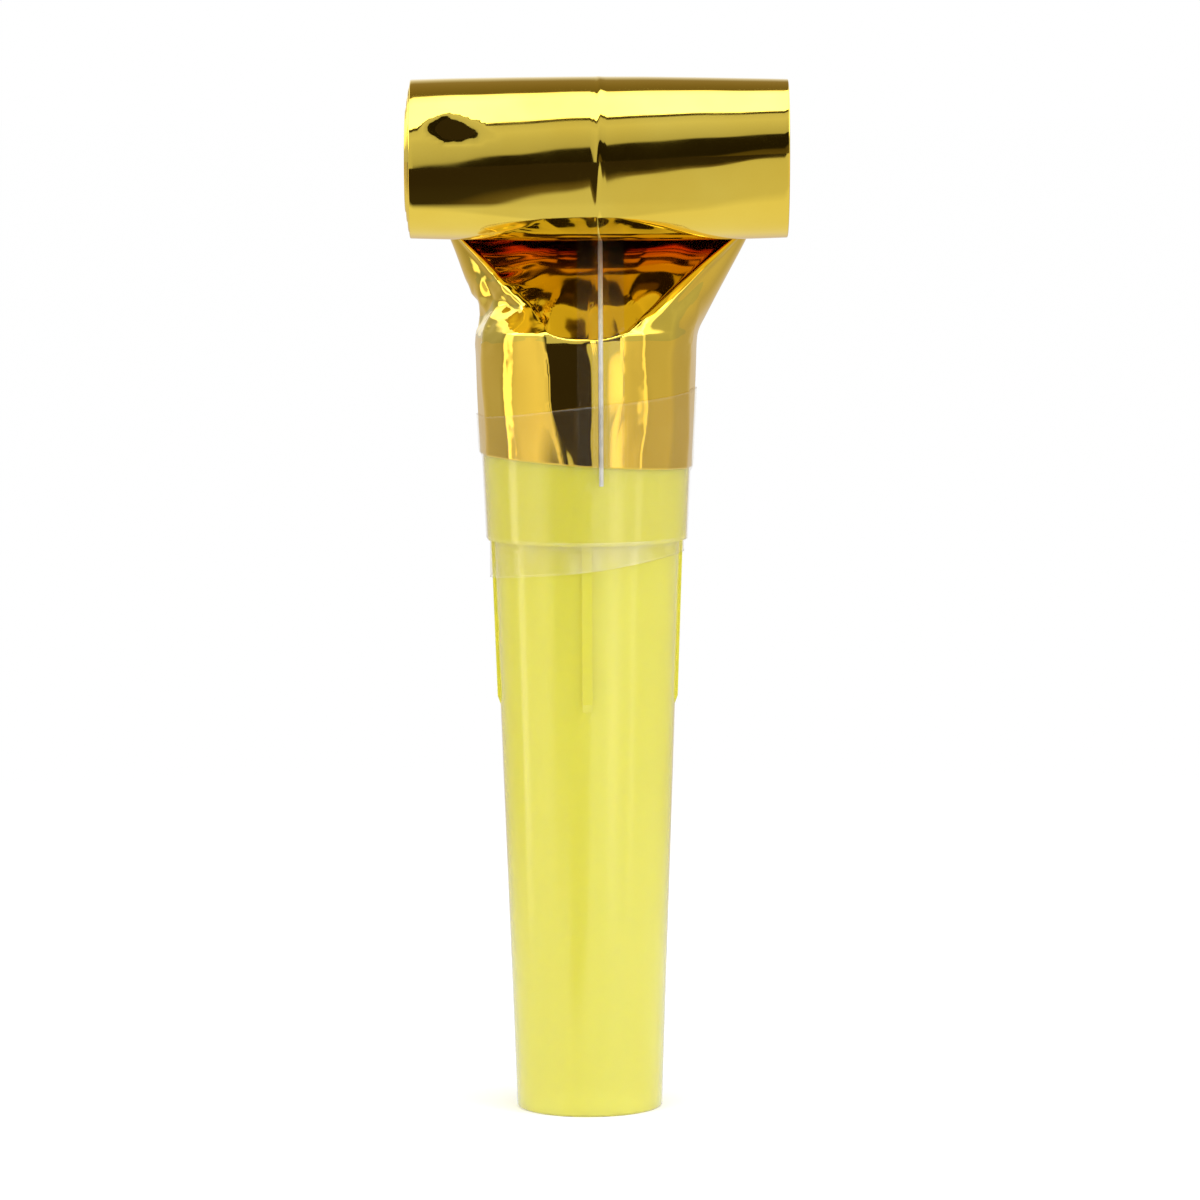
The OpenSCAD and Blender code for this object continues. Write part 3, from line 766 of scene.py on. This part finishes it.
def film_relief(grid):
    """How far the neck's film is pushed out along its normal, in mm."""
    x, y, z = grid[..., 0], grid[..., 1], grid[..., 2]
    direction = np.arctan2(x, -y)
    u = rise(z)
    clear_of_wire = 1 - OVER_WIRE * bump(x - ROLL_SHIFT, OVER_WIRE_WIDTH) * (y < 0)
    below_strip = 1 - smooth(u, *STRIP_FADE)
    sleeve = SLEEVE_R0 * sleeve_relief(direction, z) * (1 - smooth(u, *SLEEVE_FADE))

    front = (y < FRONT_SLOPE * SLEEVE_R0 * (u - FRONT_FROM)) | (y < FRONT_Y)
    fan = np.degrees(np.arctan2(x - FAN_FOOT[0], z - FAN_FOOT[1]))
    pleats = sum(height * bump(fan - at, wide) for at, height, wide in PLEATS)
    pleats = pleats * front * above_foot(z, *PLEATS_IN)

    place = np.arange(grid.shape[1])
    fold_places = (grid.shape[1] - FOLD_PLACE, FRONT_STEPS + FOLD_PLACE)
    folds = sum(bump(place - at, FOLD_WIDTH) for at in fold_places)
    folds = FOLD_HEIGHT * folds * above_foot(z, *FOLDS_IN) * (1 - smooth(u, *FOLD_FADE))

    along = direction * SLEEVE_R0
    loose = NECK_CRUMPLE * above_foot(z, *CRUMPLES_IN)
    for height, at_x, half_x, at_z, half_z in CRUMPLED:
        zone = bump(x - at_x, half_x) * bump(z - at_z, half_z) * (y < CRUMPLED_Y)
        loose = loose + height * zone
    loose = loose + FOOT_CRUMPLE * bump(z - NECK_Z - FOOT_MIDDLE, FOOT_HALF) + LEAST_CRUMPLE
    crumples = loose * crumple(along, z, *COARSE) + FINE_SHARE * loose * crumple(along, z, *FINE)

    rounded_rim = RIM_BULGE * bump(z - NECK_Z - RIM_MIDDLE, RIM_HALF) * (y < RIM_Y)
    return below_strip * clear_of_wire * (sleeve + pleats + folds + crumples + rounded_rim)


neck = neck_grid()
neck = neck + grid_surface_normals(neck) * film_relief(neck)[..., None]
neck_obj = mesh_object("foil_neck_film", neck, ring_faces(*neck.shape[:2]), foil)
thick = neck_obj.modifiers.new("film", "SOLIDIFY")
thick.thickness = FILM_T * MM
thick.offset = -1
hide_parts("foil_neck")
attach(neck_obj, "base")

# ---------------------------------------------------------------- joint tape

TAPE_W = 21
TAPE_BELOW_SHARE = 0.14
TAPE_MID_Z = SLEEVE_LOW_Z - TAPE_BELOW_SHARE * TAPE_W
TAPE_HALF = TAPE_W / 2
TAPE_SKEW = 3.2
TAPE_T = 0.08
TAPE_GAP = 0.09
TAPE_ROWS, TAPE_COUNT = 44, 200
# Waves of the tape's two edges: height in mm, waves round the collar, and how they differ
TAPE_WAVE, TAPE_WAVE_RATE, TAPE_WAVE_PHASE = 0.12, 3.1, 2
# How far the tape stands off the taper below the collar, where the ribs hold it, and how far
# below and above the collar's ledge it steps in
OFF_TAPER = 0.33
LEDGE_STEP = (-0.35, 0.1)
# How far the film under the tape stands off, and where the tape climbs on its edge
OFF_FILM = 0.05
ONTO_FILM = (-0.5, 0.15)
# Height and width of the tape's rise over the wire, height, reach and edge of its rise over the
# wire's own tape, and the heights below the sleeve's foot between which both begin
WIRE_RISE, WIRE_RISE_WIDTH = 0.75, 0.9
WIRE_TAPE_RISE, WIRE_TAPE_REACH, WIRE_TAPE_EDGE = 0.3, 3.4, 0.8
RISE_FROM = (3.2, 2.0)
# Both are in front only, up to this direction in radians
RISE_SIDE = 1


def carrier_r(direction, z):
    """Radius of what lies under the joint tape."""
    step = smooth(z, COLLAR_Z + LEDGE_STEP[0], COLLAR_Z + LEDGE_STEP[1])
    below_ledge = mix(TAPER_TOP_R + OFF_TAPER, COLLAR_LOW_R, step)
    plastic_r = np.where(z < COLLAR_Z, below_ledge, collar_r(z))
    film_r = (collar_r(z) + SLEEVE_GAP + FILM_T) * (1 + sleeve_relief(direction, z)) + OFF_FILM
    film_edge = SLEEVE_LOW_Z - SLEEVE_SKEW / 2 * np.sin(direction)
    on_film = smooth(z, film_edge + ONTO_FILM[0], film_edge + ONTO_FILM[1])
    from_wire = np.sin(direction) * SLEEVE_R0 - ROLL_SHIFT
    wire_rise = WIRE_RISE * bump(from_wire, WIRE_RISE_WIDTH)
    tape_rise = WIRE_TAPE_RISE * smooth(WIRE_TAPE_REACH - np.abs(from_wire), 0, WIRE_TAPE_EDGE)
    risen = smooth(z, SLEEVE_LOW_Z - RISE_FROM[0], SLEEVE_LOW_Z - RISE_FROM[1])
    over_wire = risen * np.maximum(wire_rise, tape_rise) * (np.abs(direction) < RISE_SIDE)
    return mix(plastic_r, film_r, on_film) + over_wire


def tape_sheet(offset):
    """One face of the joint tape, at an offset from its inner face in mm."""
    direction = np.linspace(-math.pi, math.pi, TAPE_COUNT, endpoint=False)
    rings = []
    for share in np.linspace(-1, 1, TAPE_ROWS):
        lean = abs(share) * TAPE_SKEW / 2 * np.sin(direction)
        wave = TAPE_WAVE * np.sin(TAPE_WAVE_RATE * direction + TAPE_WAVE_PHASE * share)
        z = TAPE_MID_Z + share * TAPE_HALF + lean + wave * abs(share)
        r = carrier_r(direction, z) + TAPE_GAP + offset
        rings.append(np.stack([r * np.sin(direction), -r * np.cos(direction), z], -1))
    return np.stack(rings)


outer, inner = tape_sheet(TAPE_T), tape_sheet(0.0)
sheet_points = TAPE_ROWS * TAPE_COUNT
outer_faces = ring_faces(TAPE_ROWS, TAPE_COUNT)
inner_faces = [tuple(v + sheet_points for v in face) for face in flipped(outer_faces)]
rims = []
for row in (0, TAPE_ROWS - 1):
    for i in range(TAPE_COUNT):
        a, b = row * TAPE_COUNT + i, row * TAPE_COUNT + (i + 1) % TAPE_COUNT
        quad = (a, b, sheet_points + b, sheet_points + a)
        rims.append(quad if row else quad[::-1])
tape_obj = mesh_object("joint_tape_film", [outer, inner], outer_faces + inner_faces + rims,
                       wide_tape)
# The rims take the dark brown of the painted edge shade and dust
tape_obj.data.materials.append(tape_edge_shade_and_dust)
for rim in tape_obj.data.polygons[-len(rims):]:
    rim.material_index = 1
    rim.use_smooth = False
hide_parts("joint_tape")
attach(tape_obj, "base")

# ---------------------------------------------------------------- stage

FLOOR_SIZE = 12.0
FLOOR_BASE = 0.06
# Distances in metres over which the floor fades to plain white for the camera, and over which its
# reflection fades from pale to the room's brightness
WHITE_FROM = (0.12, 0.35)
ROOM_FROM = (0.1, 0.25)
BESIDE_LEVEL = 0.8
# Directions between which the floor counts as in front: 0 is beside the object, 1 straight ahead
AHEAD = (0.1, 0.5)
# The white sheet's edge in front of the object, and the floor's brightness across it: the middle
# of the ramp is the edge, and its whole length is 200 mm
SHEET_EDGE_Y = 0.15
SHEET_SLANT = 0.14
SHEET_RAMPS_PER_METRE = 5.0
FLOOR_BANDS = ((0.0, (0.024, 0.016, 0.01)), (0.41, (0.026, 0.018, 0.01)),
               (0.44, (0.075, 0.054, 0.025)), (0.48, (0.13, 0.1, 0.05)),
               (0.5, (0.6, 0.6, 0.6)), (1.0, (0.68, 0.68, 0.68)))
# Distances in metres over which the pale floor near the object gives way to those bands, and its
# level
NEAR_FLOOR = (0.06, 0.085)
NEAR_LEVEL = 0.66
# Sideways directions between which the front's bands give way to the sides
SIDE_EDGE = (0.36, 0.5)
# How much the studio's bands lean sideways when level, how much of that is lost overhead, between
# which elevations in half turns, and up to what sideways direction they lean
LOW_LEAN = -1.9
LEAN_LOSS = 1.55
OVERHEAD = (-0.07, 0.19)
LEAN_REACH = 0.13
SKY_LEVEL = 0.8
# Keeps a division by a distance from running into 0
LEAST_AWAY = 0.001

# Elevations in degrees at the ends of the bands' ramp
BANDS_START, BANDS_END = -45, 180
# The dark parts of the room are brown
WARM = (1.0, 0.76, 0.35)
WARM_BELOW = 0.3


def half_turn(*stops):
    """Stops given in degrees of elevation, for the ramp that runs from BANDS_START to BANDS_END."""
    bands = []
    for angle, level in stops:
        colour = tuple(level * w for w in WARM) if level < WARM_BELOW else (level,) * 3
        bands.append(((angle - BANDS_START) / (BANDS_END - BANDS_START), colour))
    return bands


# Brightness in front and overhead, by elevation: level is 0, overhead 90, level behind 180
BANDS = half_turn((-45, 0.6), (-38, 0.6), (-36, 0.11), (-15, 0.08), (-13, 0.014), (21, 0.018),
                  (23, 0.46), (50, 0.66), (60, 0.6), (61.2, 0.05), (64.5, 0.05), (65.7, 3.4),
                  (100, 3.2), (110, 2.4), (113, 0.17), (145, 0.28), (168, 0.95))
# Brightness round the room, by degrees from the front towards the right, and how it changes with
# height. The narrow bright bands stand for lamps that show in the sleeve's creases
ROOM_DEGREES = ((-180, 0.7), (-130, 0.55), (-98, 0.36), (-94, 1.8), (-87, 1.8), (-83, 0.7),
                (-55, 0.95), (-46, 0.6), (-38, 0.1), (0, 0.02), (21, 0.05), (25, 1.6), (36, 1.5),
                (44, 0.75), (55, 0.62), (58, 1.3), (62, 1.3), (66, 0.52), (95, 0.6), (120, 0.48),
                (180, 0.7))
ROOM_WARM = (1.0, 0.88, 0.75)
ROOM_BANDS = [((degrees + 180) / 360, tuple(level * w for w in ROOM_WARM))
              for degrees, level in ROOM_DEGREES]
HEIGHT_BANDS = greys((0.0, 0.9), (0.32, 1.0), (0.42, 3.6), (0.85, 3.6), (0.95, 1.6))

# Name, place in metres, size and power of each light. All point at the object
LIGHTS = (("top_light", (0.1, -0.2, 1.1), (1.0, 0.8), 7),
          ("left_light", (-0.9, -0.6, 0.5), (0.6, 0.8), 4),
          ("right_light", (0.9, -0.5, 0.5), (0.6, 0.8), 4))
LIGHT_TARGET = (0, 0, 0.06)

CAMERA_PLACE = (1.65, -800.0, 145.0)
CAMERA_PITCH = math.radians(5.63)
CAMERA_ROLL = math.radians(0.29)
CAMERA_LENS = 186.3


def room_bands(nodes, links, calculate, x, toward):
    """The room's brightness by direction, where toward is the part towards the front."""
    turn = calculate("DIVIDE", calculate("ARCTAN2", x, toward), 2 * math.pi)
    return ramp(nodes, links, calculate("ADD", turn, 0.5), ROOM_BANDS)


def emission(nodes, links, colour):
    node = nodes.new("ShaderNodeEmission")
    feed(links, colour, node.inputs["Color"])
    return node.outputs["Emission"]


def stage_floor():
    """A white floor. It keeps the object's shadow, and is plain white further off. In the foil it
    shows pale near the object and, in front, dark beyond the edge of the white sheet."""
    material, nodes, links, shader = new_material("stage_white")
    shader.inputs["Base Color"].default_value = (0.9, 0.9, 0.9, 1)
    shader.inputs["Roughness"].default_value = 0.9
    shader.inputs["Specular IOR Level"].default_value = 0.1
    calculate = calculator(nodes, links)
    x, y, _ = coordinates(nodes, links, "Object")
    toward = calculate("MULTIPLY", y, -1.0)
    away = calculate("ADD", calculate("MULTIPLY", x, x), calculate("MULTIPLY", y, y))
    away = calculate("SQRT", away)
    some_away = calculate("ADD", away, LEAST_AWAY)
    # What the foil sees beside and behind the object
    room = room_bands(nodes, links, calculate, x, toward)
    beside = blend_colours(nodes, links, eased(calculate, away, *ROOM_FROM), BESIDE_LEVEL, room)
    # The white sheet's edge runs aslant in front of the object: dark on its left, pale on its right
    past_edge = calculate("MULTIPLY", calculate("ADD", y, SHEET_EDGE_Y), SHEET_SLANT)
    past_edge = calculate("MULTIPLY", calculate("ADD", x, past_edge), SHEET_RAMPS_PER_METRE)
    sheet = ramp(nodes, links, calculate("ADD", past_edge, 0.5), FLOOR_BANDS)
    sheet = blend_colours(nodes, links, eased(calculate, away, *NEAR_FLOOR), NEAR_LEVEL, sheet)
    ahead = calculate("DIVIDE", toward, some_away)
    sideways = calculate("DIVIDE", calculate("ABSOLUTE", x), some_away)
    in_front = calculate("MULTIPLY", eased(calculate, ahead, *AHEAD),
                         calculate("SUBTRACT", 1.0, eased(calculate, sideways, *SIDE_EDGE)))
    glow = emission(nodes, links, blend_colours(nodes, links, in_front, beside, sheet))
    # For the camera: the floor's own light, on top of a pale base, so that only the shadow is grey
    lit = nodes.new("ShaderNodeAddShader")
    links.new(shader.outputs["BSDF"], lit.inputs[0])
    links.new(emission(nodes, links, FLOOR_BASE), lit.inputs[1])
    shown = mix_shaders(nodes, links, eased(calculate, away, *WHITE_FROM), lit.outputs["Shader"],
                        emission(nodes, links, 1.0))
    path = nodes.new("ShaderNodeLightPath").outputs
    seen = mix_shaders(nodes, links, path["Is Camera Ray"], shader.outputs["BSDF"], shown)
    seen = mix_shaders(nodes, links, path["Is Glossy Ray"], seen, glow)
    links.new(seen, nodes["Material Output"].inputs["Surface"])
    mesh = bpy.data.meshes.new("stage_floor")
    h = FLOOR_SIZE / 2
    mesh.from_pydata([(-h, -h, 0), (h, -h, 0), (h, h, 0), (-h, h, 0)], [], [(0, 1, 2, 3)])
    floor = bpy.data.objects.new("stage_floor", mesh)
    bpy.context.scene.collection.objects.link(floor)
    mesh.materials.append(material)


def studio_world():
    """White for the camera, even light for the rest, and the studio's bands for reflections."""
    world = bpy.data.worlds.new("studio")
    bpy.context.scene.world = world
    world.use_nodes = True
    nodes, links = world.node_tree.nodes, world.node_tree.links
    calculate = calculator(nodes, links)
    x, y, z = coordinates(nodes, links, "Generated")
    toward = calculate("MULTIPLY", y, -1.0)
    # Elevation in the plane that looks at the front, in half turns: 0 level, 1 level behind
    elevation = calculate("DIVIDE", calculate("ARCTAN2", z, toward), math.pi)
    side = calculate("MINIMUM", calculate("MAXIMUM", x, -LEAN_REACH), LEAN_REACH)
    lean = calculate("MULTIPLY", eased(calculate, elevation, *OVERHEAD), LEAN_LOSS)
    lean = calculate("MULTIPLY", side, calculate("ADD", LOW_LEAN, lean))
    turn = calculate("ADD", calculate("ADD", elevation, lean), -BANDS_START / 180)
    turn = calculate("DIVIDE", turn, (BANDS_END - BANDS_START) / 180)
    bands = ramp(nodes, links, turn, BANDS)
    beside = calculate("MULTIPLY", room_bands(nodes, links, calculate, x, toward),
                       ramp(nodes, links, z, HEIGHT_BANDS))
    sideways = eased(calculate, calculate("ABSOLUTE", x), *SIDE_EDGE)
    seen = blend_colours(nodes, links, sideways, bands, beside)
    path = nodes.new("ShaderNodeLightPath").outputs
    lit = blend_colours(nodes, links, path["Is Glossy Ray"], SKY_LEVEL, seen)
    shown = blend_colours(nodes, links, path["Is Camera Ray"], lit, 1.0)
    background = nodes["Background"]
    links.new(shown, background.inputs["Color"])
    background.inputs["Strength"].default_value = 1.0


def area_light(name, place, size, power):
    light = bpy.data.lights.new(name, "AREA")
    light.shape = "RECTANGLE"
    light.size, light.size_y = size
    light.energy = power
    light.cycles.use_multiple_importance_sampling = True
    obj = bpy.data.objects.new(name, light)
    bpy.context.scene.collection.objects.link(obj)
    direction = np.array(LIGHT_TARGET) - np.array(place)
    z = -direction / np.linalg.norm(direction)
    steep = abs(z[2]) > 0.9
    x = np.cross((0, 1, 0) if steep else (0, 0, 1), z)
    x /= np.linalg.norm(x)
    axes = np.stack([x, np.cross(z, x), z], 1).tolist()
    obj.matrix_world = Matrix([[*row, p] for row, p in zip(axes, place)] + [[0, 0, 0, 1]])
    obj.visible_glossy = False


stage_floor()
studio_world()
for light in LIGHTS:
    area_light(*light)

camera_data = bpy.data.cameras.new("camera")
camera_data.lens = CAMERA_LENS
camera = bpy.data.objects.new("camera", camera_data)
bpy.context.scene.collection.objects.link(camera)
camera.matrix_world = (Matrix.Translation([v * MM for v in CAMERA_PLACE])
                       @ Matrix.Rotation(math.pi / 2 - CAMERA_PITCH, 4, "X")
                       @ Matrix.Rotation(-CAMERA_ROLL, 4, "Z"))
bpy.context.scene.camera = camera
bpy.context.scene.view_settings.view_transform = "Standard"
# Light goes back and forth often between the roll's underside and the neck
bpy.context.scene.cycles.glossy_bounces = 10

bpy.context.view_layer.update()
